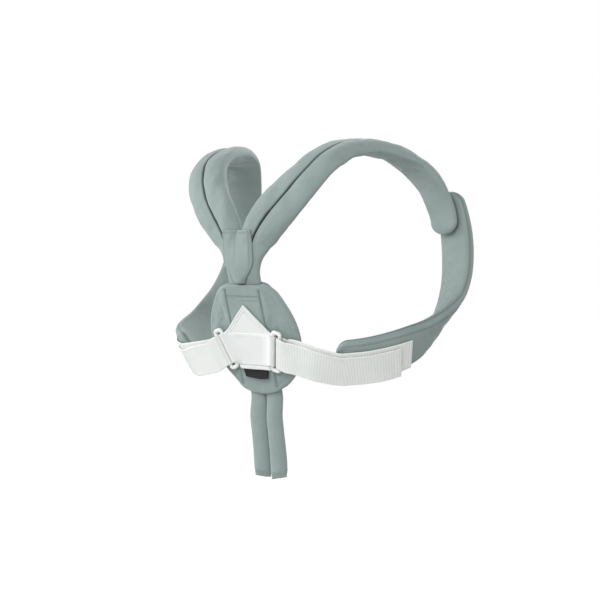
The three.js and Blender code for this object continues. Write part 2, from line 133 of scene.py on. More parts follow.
# Small mathematics
def ease(x, low, high):
    t = np.clip((np.asarray(x, float) - low) / (high - low), 0, 1)
    return t * t * (3 - 2 * t)


def mix(a, b, t):
    return a + (b - a) * t


def unit(v):
    return v / np.maximum(np.linalg.norm(v, axis=-1, keepdims=True), 1e-9)


def mound(x, at, wide):
    """A smooth hump of height 1 at a place."""
    return np.exp(-(((x - at) / wide) ** 2))


def distances(points):
    return np.concatenate([[0], np.cumsum(np.linalg.norm(np.diff(points, axis=0), axis=1))])


def between(d, far, table):
    """Rows of a table at distances d, where far holds the distance of each row."""
    return np.stack([np.interp(d, far, column) for column in table.T], axis=-1)


def mirror(side):
    return np.array([side, 1, 1])


def ripple(seed, x, y, waves, count=9):
    """A smooth uneven field, about -1 to 1; waves are its shortest and longest wavelength."""
    rng = np.random.default_rng(seed)
    total = np.zeros(np.broadcast(x, y).shape)
    for _ in range(count):
        wave = math.exp(rng.uniform(math.log(waves[0]), math.log(waves[1])))
        turn = rng.uniform(0, 2 * math.pi)
        run = x * math.cos(turn) + y * math.sin(turn)
        total += np.sin(2 * math.pi * run / wave + rng.uniform(0, 6.28))
    return total / math.sqrt(count)


def catmull(points, t, centripetal):
    n = len(points)
    place = np.clip(t, 0, 1) * (n - 1)
    i = np.minimum(place.astype(int), n - 2)
    w = (place - i)[:, None]
    far = np.vstack([2 * points[0] - points[1], points, 2 * points[-1] - points[-2]])
    p0, p1, p2, p3 = far[i], far[i + 1], far[i + 2], far[i + 3]
    if centripetal:
        step = lambda a, b: np.maximum(np.sum((a - b) ** 2, axis=1, keepdims=True), 1e-12) ** 0.25
        d0, d1, d2 = step(p0, p1), step(p1, p2), step(p2, p3)
        m1 = ((p1 - p0) / d0 - (p2 - p0) / (d0 + d1) + (p2 - p1) / d1) * d1
        m2 = ((p2 - p1) / d1 - (p3 - p1) / (d1 + d2) + (p3 - p2) / d2) * d1
    else:
        m1, m2 = 0.5 * (p2 - p0), 0.5 * (p3 - p1)
    return p1 + m1 * w + (3 * (p2 - p1) - 2 * m1 - m2) * w**2 + (2 * (p1 - p2) + m1 + m2) * w**3


class Route:
    """A smooth run through table rows; at() gives its frames at distances along it."""

    def __init__(self, rows):
        rows = np.array([tuple(r) + (0,) * (9 - len(r)) for r in rows], float)
        t = np.linspace(0, 1, 4001)
        self.points = catmull(rows[:, :3], t, True)
        self.facing = catmull(rows[:, 3:6], t, False)
        self.sizes = catmull(rows[:, 6:9], t, False)
        self.far = distances(self.points)
        self.long = self.far[-1]
        self.runs = unit(np.gradient(self.points, self.far, axis=0))

    def at(self, d):
        d = np.clip(np.atleast_1d(np.asarray(d, float)), 0, self.long)
        pick = lambda table: between(d, self.far, table)
        run = unit(pick(self.runs))
        out = pick(self.facing)
        out = unit(out - run * np.sum(out * run, axis=1, keepdims=True))
        wide, thick, slit = pick(self.sizes).T
        return SimpleNamespace(point=pick(self.points), run=run, out=out, across=np.cross(run, out),
                               wide=wide, thick=thick, slit=np.maximum(slit, 0))


def on_pad(u, v, w):
    u, v, w = np.broadcast_arrays(np.asarray(u, float), np.asarray(v, float), np.asarray(w, float))
    y = PAD_TOP[0] + v * math.sin(PAD_SLOPE) - w * math.cos(PAD_SLOPE)
    z = PAD_TOP[1] - v * math.cos(PAD_SLOPE) - w * math.sin(PAD_SLOPE)
    return np.stack([u, y, z], axis=-1)


def off_pad(p):
    y, z = p[..., 1] - PAD_TOP[0], p[..., 2] - PAD_TOP[1]
    v = y * math.sin(PAD_SLOPE) - z * math.cos(PAD_SLOPE)
    return p[..., 0], v, -y * math.cos(PAD_SLOPE) - z * math.sin(PAD_SLOPE)


PAD_OUT = on_pad(0, 0, 1) - on_pad(0, 0, 0)


# Meshes
def put(name, data):
    obj = bpy.data.objects.new(name, data)
    scene.collection.objects.link(obj)
    return obj


def tube_quads(index):
    """Quads of a skin over rows of equal closed loops."""
    turn = np.roll(index, -1, axis=-1)
    corners = [index[..., :-1, :], turn[..., :-1, :], turn[..., 1:, :], index[..., 1:, :]]
    return np.stack(corners, axis=-1).reshape(-1, 4)


def signed_volume(points, faces):
    a, b, c, d = (points[faces[:, k]] for k in range(4))
    return float(np.sum(a * np.cross(b, c)) + np.sum(a * np.cross(c, d))) / 6


def make(name, points, faces, uv=None, fold=None, side=1):
    points, faces = np.array(points, float) * mirror(side), np.array(faces, int)
    if signed_volume(points, faces) < 0:
        faces = faces[:, ::-1]
        uv = None if uv is None else uv[:, ::-1]
    mesh = bpy.data.meshes.new(name)
    mesh.from_pydata((points * MM).tolist(), [], faces.tolist())
    mesh.polygons.foreach_set("use_smooth", np.ones(len(mesh.polygons), bool))
    if uv is not None:
        set_cloth(mesh, uv)
    set_fold(mesh, np.zeros(len(points)) if fold is None else fold)
    return put(name, mesh)


def set_cloth(mesh, uv):
    layer = mesh.uv_layers.new(name="cloth")
    layer.data.foreach_set("uv", (np.ascontiguousarray(uv) * MM).ravel().astype(np.float32))


# Stores a per-vertex amount of painted shade; the cloth materials darken towards their deep tone by it
def set_fold(mesh, fold):
    values = mesh.attributes.get("fold") or mesh.attributes.new("fold", "FLOAT", "POINT")
    values.data.foreach_set("value", np.asarray(fold, np.float32).ravel())


def loft(name, loops, along, fold=None, side=1):
    """A closed skin over equal loops, [station, point, xyz], with flat zipped ends."""
    rows, n, _ = loops.shape
    index = np.arange(rows * n).reshape(rows, n)
    quads = tube_quads(index)
    steps = np.linalg.norm(np.roll(loops, -1, axis=1) - loops, axis=2)
    around = np.concatenate([np.zeros((rows, 1)), np.cumsum(steps, axis=1)], axis=1)
    far = np.repeat(np.asarray(along, float)[:, None], n + 1, axis=1)
    grid = np.stack([around, far], axis=-1)
    uv = np.stack([grid[:-1, :-1], grid[:-1, 1:], grid[1:, 1:], grid[1:, :-1]], axis=2).reshape(-1, 4, 2)
    j = np.arange(n // 2 - 1)
    for row, flip in ((0, True), (rows - 1, False)):
        cap = np.stack([index[row, k] for k in (j, j + 1, n - 2 - j, n - 1 - j)], axis=-1)
        flat = np.stack([grid[row, k] for k in (j, j + 1, j + 1, j)], axis=1)
        quads = np.vstack([quads, cap[:, ::-1] if flip else cap])
        uv = np.concatenate([uv, flat[:, ::-1] if flip else flat])
    return make(name, loops.reshape(-1, 3), quads, uv, fold, side)


def tree_of(*objects):
    points, faces = [], []
    for o in objects:
        base = len(points)
        points += [v.co.copy() for v in o.data.vertices]
        faces += [[base + k for k in p.vertices] for p in o.data.polygons]
    return BVHTree.FromPolygons(points, faces)


def hit(tree, point, direction):
    """Where a ray meets a skin, in millimetres, with the normal there; None if it misses."""
    spot, normal, _, _ = tree.ray_cast(Vector(point) * MM, Vector(direction))
    return None if spot is None else (np.array(spot) / MM, np.array(normal))


def assign(thing, settings):
    for key, value in settings.items():
        setattr(thing, key, value)


def apply(obj, kind, **settings):
    """Applies one modifier and keeps a plain mesh."""
    assign(obj.modifiers.new(kind, kind), settings)
    bpy.context.view_layer.update()
    made = bpy.data.meshes.new_from_object(obj.evaluated_get(bpy.context.evaluated_depsgraph_get()))
    obj.modifiers.clear()
    obj.data = made


def read(table, key):
    values = np.zeros(len(table) * 3, np.float32)
    table.foreach_get(key, values)
    return values.reshape(-1, 3).astype(float)


def vertices(obj):
    return read(obj.data.vertices, "co") / MM


def move_vertices(obj, co):
    obj.data.vertices.foreach_set("co", (co * MM).ravel().astype(np.float32))
    obj.data.update()


def normals(obj):
    return read(obj.data.vertex_normals, "vector")


def lay_cloth(obj, u, v):
    """Gives a remeshed piece its cloth measure from two coordinates of its vertices."""
    corner = np.zeros(len(obj.data.loops), int)
    obj.data.loops.foreach_get("vertex_index", corner)
    set_cloth(obj.data, np.stack([u, v], axis=1)[corner])


def near_tree(points):
    tree = KDTree(len(points))
    for i, point in enumerate(points):
        tree.insert(point, i)
    tree.balance()
    return tree


# Cloth: a coarse copy of a padded piece settles with air in it, and its movement is carried over
def settle(obj, share, cap, slack):
    """share, 0 to 1, is how far each vertex follows; cap is the longest movement in millimetres."""
    proxy = put("settling", obj.data.copy())
    apply(proxy, "REMESH", mode="VOXEL", voxel_size=CLOTH_VOXEL)
    before, fine = vertices(proxy), vertices(obj)
    share = np.asarray(share, float).ravel()
    near = near_tree(fine)
    held = proxy.vertex_groups.new(name="held")
    for i, point in enumerate(before):
        held.add([i], 1 - CLOTH_FREE * share[near.find(point)[1]], "REPLACE")
    cloth = proxy.modifiers.new("cloth", "CLOTH")
    rules = cloth.settings
    assign(rules, CLOTH_RULES)
    rules.shrink_min = -slack
    rules.vertex_group_mass = "held"
    rules.effector_weights.gravity = 0
    cloth.point_cache.frame_end = CLOTH_FRAMES + 2
    for step in range(CLOTH_FRAMES):
        scene.frame_set(step + 1)
    moved = proxy.evaluated_get(bpy.context.evaluated_depsgraph_get()).to_mesh()
    move = read(moved.vertices, "co") / MM - before
    far = np.linalg.norm(move, axis=1, keepdims=True)
    move *= np.minimum(1, cap / np.maximum(far, 1e-6))
    coarse = near_tree(before)
    shift = np.zeros_like(fine)
    for i in np.flatnonzero(share > 0.01):
        found = coarse.find_n(fine[i], 6)
        weight = np.array([1 / (gap + 0.8) ** 2 for _, _, gap in found])
        shift[i] = (move[[k for _, k, _ in found]] * weight[:, None]).sum(0) / weight.sum()
    scene.frame_set(1)
    bpy.data.objects.remove(proxy)
    move_vertices(obj, fine + shift * share[:, None])


# Materials
def nodes_of(name, roughness, sheen=0.0, sheen_roughness=0.5, specular=0.4):
    material = bpy.data.materials.new(name)
    material.use_nodes = True
    tree = material.node_tree
    shader = tree.nodes["Principled BSDF"]
    feed(tree, shader, {"Roughness": roughness, "Sheen Weight": sheen,
                        "Sheen Roughness": sheen_roughness, "Specular IOR Level": specular})
    return material, tree, shader


def feed(tree, node, values):
    """Gives a node's inputs plain values, or links other nodes' outputs to them."""
    for key, value in values.items():
        if isinstance(value, (int, float, tuple)):
            node.inputs[key].default_value = value
        else:
            tree.links.new(value, node.inputs[key])


def add(tree, kind, values=None, **settings):
    node = tree.nodes.new(kind)
    assign(node, settings)
    feed(tree, node, values or {})
    return node


def maths(tree, operation, a, b=0.0):
    return add(tree, "ShaderNodeMath", {0: a, 1: b}, operation=operation).outputs[0]


def blend_colours(tree, factor, a, b):
    return add(tree, "ShaderNodeMix", {0: factor, 6: a, 7: b}, data_type="RGBA", blend_type="MIX",
               clamp_factor=True).outputs[2]


def noise_of(tree, coords, scale, detail=3.0, roughness=0.55):
    values = {"Vector": coords, "Scale": scale, "Detail": detail, "Roughness": roughness}
    return add(tree, "ShaderNodeTexNoise", values).outputs["Fac"]


def bands_of(tree, coords, pitch, direction, twist=0.0, scale=1.0):
    """Sine bands of a pitch in metres, from 0 to 1."""
    values = {"Vector": coords, "Scale": 2 * math.pi / 20 / pitch, "Distortion": twist,
              "Detail Scale": scale}
    return add(tree, "ShaderNodeTexWave", values, bands_direction=direction).outputs["Fac"]


def span(tree, value, low, high, to_low=0.0, to_high=1.0):
    return add(tree, "ShaderNodeMapRange", {0: value, 1: low, 2: high, 3: to_low, 4: to_high}).outputs[0]


def rgb(red, green, blue):
    to_linear = lambda c: c / 12.92 if c <= 0.04045 else ((c + 0.055) / 1.055) ** 2.4
    return tuple(to_linear(c / 255) for c in (red, green, blue)) + (1.0,)


def cloth_material(name, light, dark, deep, pitch, roughness, sheen, bump, fuzz, depth):
    """Woven cloth: two tones that wander, a weave across the cloth's own measure, fuzz, and painted shade
    that darkens it towards the deep tone where a piece marks slits, seams and grooves.
    """
    light, dark, deep = (rgb(*tone) for tone in (light, dark, deep))
    material, tree, shader = nodes_of(name, roughness, sheen, 0.45, 0.25)
    cloth = add(tree, "ShaderNodeUVMap", uv_map="cloth").outputs["UV"]
    place = add(tree, "ShaderNodeTexCoord").outputs["Object"]
    warp = bands_of(tree, cloth, pitch, "X", 1.2, 2.0)
    weft = bands_of(tree, cloth, pitch * 0.8, "Y", 1.2, 2.0)
    weave = maths(tree, "MULTIPLY", maths(tree, "ADD", warp, weft), 0.5)
    grain = noise_of(tree, place, fuzz, 2.0, 0.7)
    wander = noise_of(tree, place, 22.0, 4.0, 0.6)
    mottle = noise_of(tree, place, 260.0, 3.0, 0.65)
    tone = blend_colours(tree, span(tree, wander, 0.3, 0.7), light, dark)
    tone = blend_colours(tree, span(tree, mottle, 0.35, 0.7, 0.0, 0.28), tone, dark)
    tone = blend_colours(tree, maths(tree, "MULTIPLY", weave, 0.16), tone, deep)
    # Painted shade: the per-vertex attribute read here darkens the colour towards the deep tone in slits,
    # seams and grooves
    fold = add(tree, "ShaderNodeAttribute", attribute_name="fold").outputs["Fac"]
    tone = blend_colours(tree, fold, tone, deep)
    height = maths(tree, "ADD", weave, maths(tree, "MULTIPLY", grain, 0.9))
    lift = add(tree, "ShaderNodeBump", {"Height": height, "Strength": bump, "Distance": depth})
    rough = span(tree, grain, 0.3, 0.7, roughness - 0.06, min(roughness + 0.05, 1.0))
    feed(tree, shader, {"Base Color": tone, "Normal": lift.outputs["Normal"], "Roughness": rough})
    return material


# Cloth tones: light and dark wander at random; the deep tone darkens the weave and is also the colour of
# the painted shade in slits, seams and grooves
GREEN = cloth_material("sage_fabric", (142, 156, 153), (133, 147, 144), (30, 36, 36),
                       pitch=0.0011, roughness=0.9, sheen=0.22, bump=0.35, fuzz=1500.0, depth=0.0004)
WHITE = cloth_material("white_cloth", (220, 222, 220), (213, 216, 214), (140, 145, 143),
                       pitch=0.0012, roughness=0.86, sheen=0.1, bump=0.3, fuzz=1400.0, depth=0.0004)
WEBBING = cloth_material("white_webbing", (223, 225, 222), (216, 219, 216), (152, 156, 153),
                         pitch=0.0009, roughness=0.8, sheen=0.08, bump=0.3, fuzz=1300.0, depth=0.0004)
BLACK = cloth_material("black_label", (19, 20, 21), (14, 15, 16), (7, 7, 8),
                       pitch=0.0007, roughness=0.72, sheen=0.04, bump=0.4, fuzz=1600.0, depth=0.0003)


def plastic_material():
    material, tree, shader = nodes_of("white_plastic", 0.38, specular=0.5)
    place = add(tree, "ShaderNodeTexCoord").outputs["Object"]
    fine = noise_of(tree, place, 900.0, 2.0)
    slow = noise_of(tree, place, 45.0, 3.0)
    tone = blend_colours(tree, span(tree, slow, 0.3, 0.7), rgb(222, 224, 222), rgb(214, 217, 215))
    lift = add(tree, "ShaderNodeBump", {"Height": fine, "Strength": 0.12, "Distance": 0.0002})
    rough = span(tree, slow, 0.3, 0.7, 0.33, 0.46)
    feed(tree, shader, {"Base Color": tone, "Normal": lift.outputs["Normal"], "Roughness": rough})
    return material


PLASTIC = plastic_material()


def dress(obj, material, nodes=()):
    obj.data.materials.clear()
    obj.data.materials.append(material)
    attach(obj, "root")
    if nodes:
        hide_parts(*nodes)
    return obj


# Sewing thread: short raised stitches along paths of (points, normals)
THREADS = {"green": [], "white": []}


def sew(colour, points, normal, long=2.5, gap=1.0, radius=0.3):
    points = np.asarray(points, float)
    normal = unit(np.broadcast_to(np.asarray(normal, float), points.shape))
    far = distances(points)
    if far[-1] < long:
        return
    count = max(int(far[-1] // (long + gap)), 1)
    pitch = far[-1] / count
    shape = np.array([-1, -0.85, -0.5, 0, 0.5, 0.85, 1])
    thin = np.array([0.35, 0.75, 1, 1, 1, 0.75, 0.35]) * radius
    rise = np.array([-0.25, 0.02, 0.2, 0.26, 0.2, 0.02, -0.25])
    for i in range(count):
        d = (i + 0.5) * pitch + shape * long / 2
        middle, up = between(d, far, points), unit(between(d, far, normal))
        run = unit(np.gradient(middle, axis=0))
        side = np.cross(run, up)
        middle = middle + up * rise[:, None]
        turn = np.arange(6) * math.pi / 3
        ring = side[:, None] * np.cos(turn)[None, :, None] + up[:, None] * np.sin(turn)[None, :, None]
        THREADS[colour].append(middle[:, None] + ring * thin[:, None, None])


def sew_rays(colour, tree, starts, way, **stitch):
    """Sews along the places where rays meet a skin."""
    found = [met for met in (hit(tree, start, way) for start in starts) if met]
    if len(found) > 2:
        sew(colour, [point for point, _ in found], [normal for _, normal in found], **stitch)


def threads(colour, name, material):
    loops = np.array(THREADS[colour])
    count, rows, n, _ = loops.shape
    index = np.arange(count * rows * n).reshape(count, rows, n)
    ends = [index[:, 0, [3, 2, 1, 0]], index[:, 0, [5, 4, 3, 0]],
            index[:, -1, [0, 1, 2, 3]], index[:, -1, [0, 3, 4, 5]]]
    faces = np.vstack([tube_quads(index)] + ends)
    uv = np.zeros((len(faces), 4, 2))
    return dress(make(name, loops.reshape(-1, 3), faces, uv), material)


# Shoulder straps: padded tubes with a slit along the middle of the outer face.
# Across the slit: places from its middle, how deep the slit is there, how dark its painted shade is
CENTRE = np.array([0, 0.35, 0.65, 0.9, 1.15, 1.5, 2.1, 3.0, 4.4])
SLIT = np.array([1, 0.97, 0.88, 0.64, 0.34, 0.13, 0.05, 0.01, 0])
SHADE = np.array([1, 1, 1, 0.95, 0.62, 0.25, 0.06, 0, 0])


def cushion(angle, half, thick, level, square, crown, flat):
    """A closed outline (across, out) of a cushion whose outer face is level deep."""
    sine, cosine = np.sin(angle), np.cos(angle)
    across = half * np.sign(sine) * np.abs(sine) ** square
    face = -level * (1 - np.abs(cosine) ** crown)
    under = -level - (thick - level) * np.abs(cosine) ** flat
    return across, np.where(cosine > 0, face, under)


def strap_sections(wide, thick, slit, girth, square, crown, flat, count):
    """Outlines [station, point, (across, out)] and the painted shade of each point, darkest deep in the
    slit.
    """
    half = wide[:, None] / 2
    level = (girth * thick)[:, None]
    scale = np.minimum(1, half / 13)
    centre = CENTRE[None] * scale
    lean = np.clip((centre / half) ** (1 / square), 0, 1)
    top = -level * (1 - np.sqrt(1 - lean**2) ** crown) - slit[:, None] * SLIT[None]
    start = np.arcsin(np.clip((6.2 * scale / half) ** (1 / square), 0, 1))
    angle = mix(start, 2 * math.pi - start, np.linspace(0, 1, count)[None])
    across, out = cushion(angle, half, thick[:, None], level, square, crown, flat)
    outline_a = np.concatenate([centre, across, -centre[:, :0:-1]], axis=1)
    outline_b = np.concatenate([top, out, top[:, :0:-1]], axis=1)
    none = np.zeros_like(across)
    # Painted shade inside the slit, darker where the slit is deeper
    deep = np.minimum(slit[:, None] / 5, 1) * SHADE[None]
    fold = np.concatenate([deep, none, deep[:, :0:-1]], axis=1)
    return outline_a, outline_b, np.clip(fold, 0, 1)


def end_stations(long, step, start, end):
    """Distances with how full the piece is there: rounded where an end has a radius."""
    turns = np.radians(np.linspace(6, 84, 14))
    near, shrink = 1 - np.cos(turns), np.sin(turns)
    d = np.linspace(start, long - end, int((long - start - end) / step) + 1)
    full = np.ones(len(d))
    if start:
        d, full = np.concatenate([start * near, d]), np.concatenate([shrink, full])
    if end:
        d, full = np.concatenate([d, long - end * near[::-1]]), np.concatenate([full, shrink[::-1]])
    return d, full


def positions(f, across, out):
    aside, outward = f.across[:, None] * across[..., None], f.out[:, None] * out[..., None]
    return f.point[:, None] + aside + outward


TUNNEL_STOPS, TUNNEL_U, TUNNEL_W, TUNNEL_SIZES = (136, 118, 95, 70, 45, 20, 4), 12.1, 13.7, (23, 11, 0)
TUNNEL_ROWS = [(*on_pad(TUNNEL_U, v, TUNNEL_W), *PAD_OUT, *TUNNEL_SIZES) for v in TUNNEL_STOPS]
STRAP = Route(TAIL_ROWS + TUNNEL_ROWS + STRAP_ROWS)
# Stretches of the strap, as distances from its tail: clear of the pad, loose tail, clear of the patch
TAIL_CLEAR, TAIL_LOOSE, STRAP_CLEAR = (68, 104), (60, 92), (262, 300)
STRAP_END, MEETING_GAP, MEETING_FOOT = 14, 0.25, -145


def shoulder_strap(name, side, seed, slant, aside, wider, over):
    """The tail leans aside and is wider by pairs of amounts, at the pad and at its end."""
    d, full = end_stations(STRAP.long, STATION, 0, STRAP_END)
    f = STRAP.at(d)
    hang = 1 - ease(d, *TAIL_CLEAR)
    lower = 1 - np.clip(d / 90, 0, 1)
    aside, wider = mix(*aside, lower), mix(*wider, lower)
    f.point = f.point + np.stack([aside * hang, -over * hang, np.zeros_like(hang)], axis=1)
    f.wide = f.wide * (1 + (wider - 1) * hang)
    pinch = mix(0.5, 1, ease(d, 0, 8))
    thick = f.thick * full**END_PLUMP * pinch
    f.point = f.point + f.out * ((thick - f.thick) / 2)[:, None]
    a, b, fold = strap_sections(f.wide * full, thick, f.slit * full, girth=0.62, square=0.86,
                                crown=0.95, flat=0.6, count=60)
    free = ease(d, *STRAP_CLEAR) * (1 - ease(d, STRAP.long - 40, STRAP.long))
    tail = 1 - ease(d, *TAIL_LOOSE)
    long_way = np.repeat(d[:, None], a.shape[1], axis=1)
    steps = lambda k: np.abs(np.diff(k, axis=1, prepend=k[:, :1]))
    round_way = np.cumsum(steps(a) + steps(b), axis=1)
    wave = ripple(seed, long_way * 0.8, round_way, (26, 70))
    fine = ripple(seed + 1, long_way, round_way * 0.5, (9, 20))
    calm = 1 - fold
    b = b + (0.45 * wave + 0.12 * fine) * (free + 0.45 * tail)[:, None] * calm
    hem = mound(long_way, TAIL_HEM, 1.0) * 0.7
    b = b - np.sign(b + thick[:, None] / 2) * hem
    points = positions(f, a, b)
    points = points - f.run[:, None] * (slant * a / 24 * (1 - ease(d, 0, 30))[:, None])[..., None]
    # Painted shade in the slit and along the hem groove near the tail end
    obj = loft(name, points, d, np.clip(fold + hem * 0.3, 0, 1), side)
    open_way = free * (1 - ease(d, STRAP.long - 95, STRAP.long - 62))
    by_slit = (b > -thick[:, None] * 0.5) * (1 - ease(np.abs(a), 2.5, 8))
    settle(obj, open_way[:, None] * (1 - by_slit), cap=1.3, slack=0.012)
    co = vertices(obj)
    meeting = (co[:, 2] > MEETING_FOOT) & (co[:, 0] * side < MEETING_GAP)
    co[meeting, 0] = MEETING_GAP * side
    move_vertices(obj, co)
    row = np.argmin(np.abs(d - TAIL_HEM))
    around = np.abs(a[row]) < f.wide[row] / 2 - 2.5
    upper = around & (b[row] > -thick[row] / 2)
    order = np.argsort(a[row][upper])
    line = points[row][upper][order] * mirror(side)
    sew("green", line, f.out[row] * mirror(side))
    return obj


strap_right = shoulder_strap("shoulder_strap_right_cloth", 1, seed=11, slant=-5, aside=(-3.4, -2.9),
                             wider=(0.93, 0.97), over=1.2)
strap_left = shoulder_strap("shoulder_strap_left_cloth", -1, seed=23, slant=0, aside=(4.1, 2.6),
                            wider=(1.14, 1.02), over=0)
straps = tree_of(strap_right, strap_left)


# Underarm pads: flat cushions with a topstitched edge and rounded ends
UNDERARM = Route(UNDERARM_ROWS)
UNDERARM_ENDS = 16, 17
# Stretches of the underarm pad: past the strap, and, from its rear end, up to the web and below it
PAST_STRAP, TO_WEB, BELOW_WEB = (62, 90), (100, 122), (98, 112)


def underarm_pad(name, side, seed):
    d, full = end_stations(UNDERARM.long, STATION, *UNDERARM_ENDS)
    f = UNDERARM.at(d)
    thick = f.thick * full**END_PLUMP
    f.point = f.point + f.out * ((thick - f.thick) / 2)[:, None]
    count, deep = 104, thick[:, None]
    angle = np.linspace(0, 2 * math.pi, count, endpoint=False)[None]
    half = f.wide[:, None] / 2 * full[:, None]
    level = 0.5 * deep
    a, b = cushion(angle, half, deep, level, square=0.62, crown=0.56, flat=0.6)
    from_rear = UNDERARM.long - d
    tip = np.minimum(d, from_rear)[:, None]
    inside = np.minimum(half - np.abs(a), tip)
    outer = ease(b, -deep * 0.62, -deep * 0.4)
    second = 0.75 * mound(inside, EDGE_STITCH_2, 1.1) * ease(40 - tip, 18, 26)
    groove = (mound(inside, EDGE_STITCH, 1.1) + second) * outer
    side_seam = mound(b, -deep * 0.56, 0.9) * ease(deep, 5, 9)
    long_way = np.repeat(d[:, None], count, axis=1)
    wave = ripple(seed, long_way, a, (24, 60))
    fine = ripple(seed + 5, long_way, a * 0.4, (8, 18))
    soft = ease(inside, 3, 10)
    rise = 0.5 * wave + 0.15 * fine
    below_web = 1 - ease(from_rear, *BELOW_WEB)[:, None]
    rise = mix(rise, np.minimum(rise, 0) - 0.1, below_web)
    b = b + np.where(b > -level, 1, -0.4) * rise * soft - groove * 0.85
    a = a - np.sign(a) * side_seam * 0.8
    points = positions(f, a, b)
    # Painted shade along the topstitched grooves and the side seam
    obj = loft(name, points, d, np.clip(groove * 0.28 + side_seam * 0.5, 0, 1), side)
    open_way = ease(d, *PAST_STRAP) * ease(from_rear, *TO_WEB)
    settle(obj, open_way[:, None] * ease(inside, 6.5, 13), cap=1.3, slack=0.015)
    for sign in (-1, 1):
        path, up = [], []
        for i in np.flatnonzero((d > 6) & (d < UNDERARM.long - 6)):
            on_face = (np.sign(a[i]) == sign) & (b[i] > -thick[i] * 0.5)
            near = np.where(on_face, np.abs(half[i] - np.abs(a[i]) - EDGE_STITCH), 99)
            k = int(np.argmin(near))
            if near[k] < 2:
                path.append(points[i, k] * mirror(side))
                up.append(f.out[i] * mirror(side))
        sew("green", path, up)
    return obj


underarm_right = underarm_pad("underarm_pad_right_cloth", 1, 41)
underarm_left = underarm_pad("underarm_pad_left_cloth", -1, 57)


# Back pad: domed front with a tunnel for the two straps, sewn channels, a hem and a seamed rim
PAD_VOXEL, PAD_ABOVE = 0.0011, 60


def pad_reach(angle):
    up = np.cos(angle)
    aside = np.degrees(np.arccos(np.clip(up, -1, 1)))
    round_edge = PAD_REACH + PAD_CORNER * mound(aside, 35, 14)
    return np.where(up > 0, np.minimum(round_edge, PAD_UPPER / np.maximum(up, 1e-6)), round_edge)


def pad_face(u, v, share):
    """Height of the face: raised over the tunnel, with a longer slope where no ring lies on it."""
    dome = PAD_RIM + (PAD_DOME - PAD_RIM) * np.maximum(0, 1 - share**2.8) ** 0.75
    clear = 1 - ease(v, 30, 52) * (1 - ease(v, 102, 118))
    over = ease((np.abs(u) - TUNNEL_HALF - 0.6) / (5.4 + 15 * clear), 0, 1)
    return np.maximum(dome, mix(PAD_BRIDGE, dome, over))


def pad_back(u, share):
    return PAD_RAISED * ease(np.abs(u), TUNNEL_HALF + 1.5, TUNNEL_HALF + 15) * ease(share, 0.7, 1)


def prism(name, outline, start, end):
    """A bar along the pad with one outline of (u, w)."""
    loops = np.array([[on_pad(u, v, w) for u, w in outline] for v in (start, end)])
    return loft(name, loops, [start, end])


